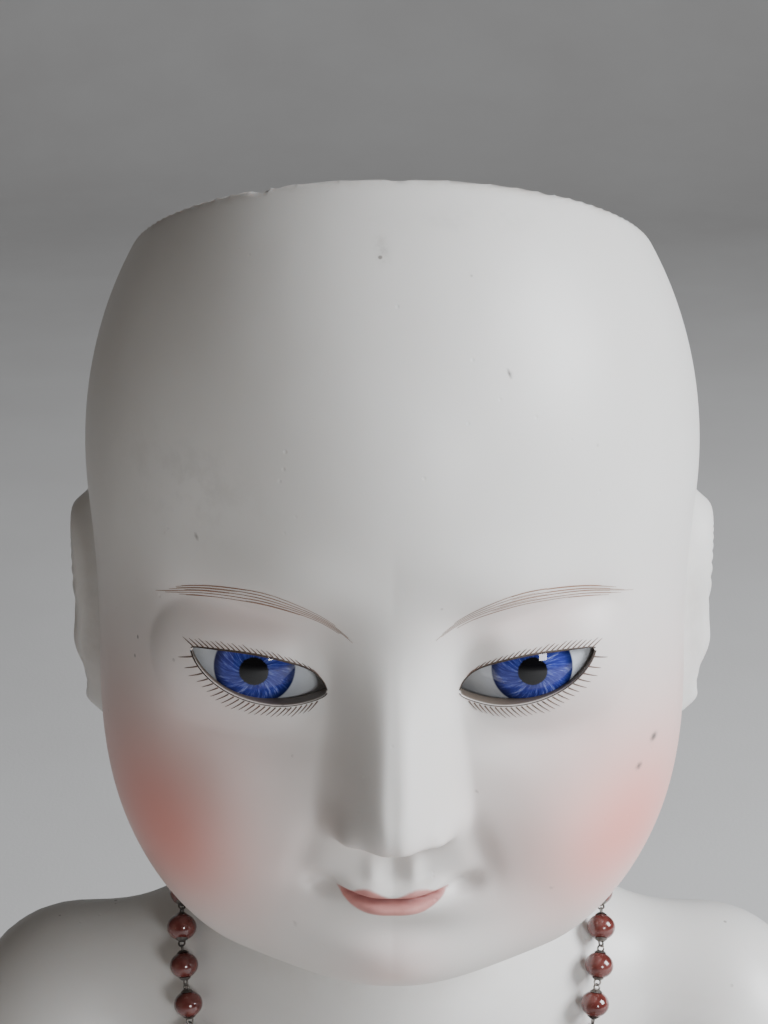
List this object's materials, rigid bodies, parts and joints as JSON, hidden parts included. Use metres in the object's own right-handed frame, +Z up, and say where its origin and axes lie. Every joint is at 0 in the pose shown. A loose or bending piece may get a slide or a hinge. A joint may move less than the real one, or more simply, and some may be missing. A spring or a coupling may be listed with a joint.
{
  "type": "porcelain doll",
  "caption": "Seated lady doll with a bisque swivel head, set glass eyes and an open crown, on a bisque shoulder plate, with a jointed wooden body and a bead necklace.",
  "frame": {"origin": "On the flat seat under the pelvis, on the doll's midplane and below the neck axis.", "axes": "+Z up along the neck axis, -Y the way the doll faces, +X the doll's left side."},
  "size_m": [0.1514, 0.2787, 0.3127],
  "materials": {
    "bisque": "unglazed bisque porcelain, painted face",
    "eye_glass": "blown glass with blue threaded iris",
    "plaster": "rough cast plaster",
    "wood": "turned and carved wood, waxed",
    "kid": "kid leather",
    "iron": "drawn iron wire and screws",
    "brass": "turned brass",
    "beads": "dark red glass beads on a wire"
  },
  "bodies": {
    "pelvis": {"pelvis": "wood", "hip_pin": "iron", "waist_ball": "wood"},
    "chest": {"chest": "wood", "shoulder_plate": "bisque", "neck_liner": "kid", "neck_washer": "brass", "neck_spring": "iron", "bead_string": "beads", "necklace_clasp": "brass"},
    "head": {"head": "bisque", "eye_left": "eye_glass", "eye_right": "eye_glass", "eye_plaster_left": "plaster", "eye_plaster_right": "plaster", "neck_button": "wood", "neck_bolt": "iron", "neck_nut": "iron"},
    "shoulder_left": {"shoulder_ball_left": "wood", "shoulder_pin_left": "iron"},
    "upper_arm_left": {"upper_arm_left": "wood", "elbow_pin_left": "iron"},
    "forearm_left": {"forearm_left": "wood"},
    "hand_left": {"hand_left": "wood"},
    "thigh_left": {"thigh_left": "wood", "knee_pin_left": "iron"},
    "shin_left": {"shin_left": "wood", "ankle_pin_left": "iron"},
    "foot_left": {"foot_left": "wood"},
    "shoulder_right": {"shoulder_ball_right": "wood", "shoulder_pin_right": "iron"},
    "upper_arm_right": {"upper_arm_right": "wood", "elbow_pin_right": "iron"},
    "forearm_right": {"forearm_right": "wood"},
    "hand_right": {"hand_right": "wood"},
    "thigh_right": {"thigh_right": "wood", "knee_pin_right": "iron"},
    "shin_right": {"shin_right": "wood", "ankle_pin_right": "iron"},
    "foot_right": {"foot_right": "wood"}
  },
  "joints": [
    {"name": "waist_turn", "type": "hinge", "parent": "pelvis", "child": "chest", "pos_m": [0, 0, 0.088], "axis": [0, 0, 1], "range_deg": [-25, 25]},
    {"name": "neck_turn", "type": "hinge", "parent": "chest", "child": "head", "pos_m": [0, 0, 0.213], "axis": [0, 0, 1], "range_deg": [-70, 70]},
    {"name": "shoulder_swing_left", "type": "hinge", "parent": "chest", "child": "shoulder_left", "pos_m": [0.057, 0.003, 0.173], "axis": [1, 0, 0], "range_deg": [-95, 35]},
    {"name": "shoulder_spread_left", "type": "hinge", "parent": "shoulder_left", "child": "upper_arm_left", "pos_m": [0.057, 0.003, 0.173], "axis": [0, 1, 0], "range_deg": [-65, 0]},
    {"name": "elbow_bend_left", "type": "hinge", "parent": "upper_arm_left", "child": "forearm_left", "pos_m": [0.06456, 0.003, 0.11146], "axis": [0.9925, 0, 0.1219], "range_deg": [-62, 28]},
    {"name": "wrist_turn_left", "type": "hinge", "parent": "forearm_left", "child": "hand_left", "pos_m": [0.07015, -0.02141, 0.06589], "axis": [-0.1076, 0.4695, 0.8764], "range_deg": [-80, 80]},
    {"name": "hip_bend_left", "type": "hinge", "parent": "pelvis", "child": "thigh_left", "pos_m": [0.0195, 0, 0.02], "axis": [1, 0, 0], "range_deg": [-12, 98]},
    {"name": "knee_bend_left", "type": "hinge", "parent": "thigh_left", "child": "shin_left", "pos_m": [0.0195, -0.10893, 0.03531], "axis": [1, 0, 0], "range_deg": [-19, 70]},
    {"name": "ankle_bend_left", "type": "hinge", "parent": "shin_left", "child": "foot_left", "pos_m": [0.0195, -0.21101, 0.0154], "axis": [1, 0, 0], "range_deg": [-12, 30]},
    {"name": "shoulder_swing_right", "type": "hinge", "parent": "chest", "child": "shoulder_right", "pos_m": [-0.057, 0.003, 0.173], "axis": [1, 0, 0], "range_deg": [-95, 35]},
    {"name": "shoulder_spread_right", "type": "hinge", "parent": "shoulder_right", "child": "upper_arm_right", "pos_m": [-0.057, 0.003, 0.173], "axis": [0, 1, 0], "range_deg": [0, 65]},
    {"name": "elbow_bend_right", "type": "hinge", "parent": "upper_arm_right", "child": "forearm_right", "pos_m": [-0.06456, 0.003, 0.11146], "axis": [0.9925, 0, -0.1219], "range_deg": [-62, 28]},
    {"name": "wrist_turn_right", "type": "hinge", "parent": "forearm_right", "child": "hand_right", "pos_m": [-0.07015, -0.02141, 0.06589], "axis": [0.1076, 0.4695, 0.8764], "range_deg": [-80, 80]},
    {"name": "hip_bend_right", "type": "hinge", "parent": "pelvis", "child": "thigh_right", "pos_m": [-0.0195, 0, 0.02], "axis": [1, 0, 0], "range_deg": [-12, 98]},
    {"name": "knee_bend_right", "type": "hinge", "parent": "thigh_right", "child": "shin_right", "pos_m": [-0.0195, -0.10893, 0.03531], "axis": [1, 0, 0], "range_deg": [-19, 70]},
    {"name": "ankle_bend_right", "type": "hinge", "parent": "shin_right", "child": "foot_right", "pos_m": [-0.0195, -0.21101, 0.0154], "axis": [1, 0, 0], "range_deg": [-12, 30]}
  ]
}
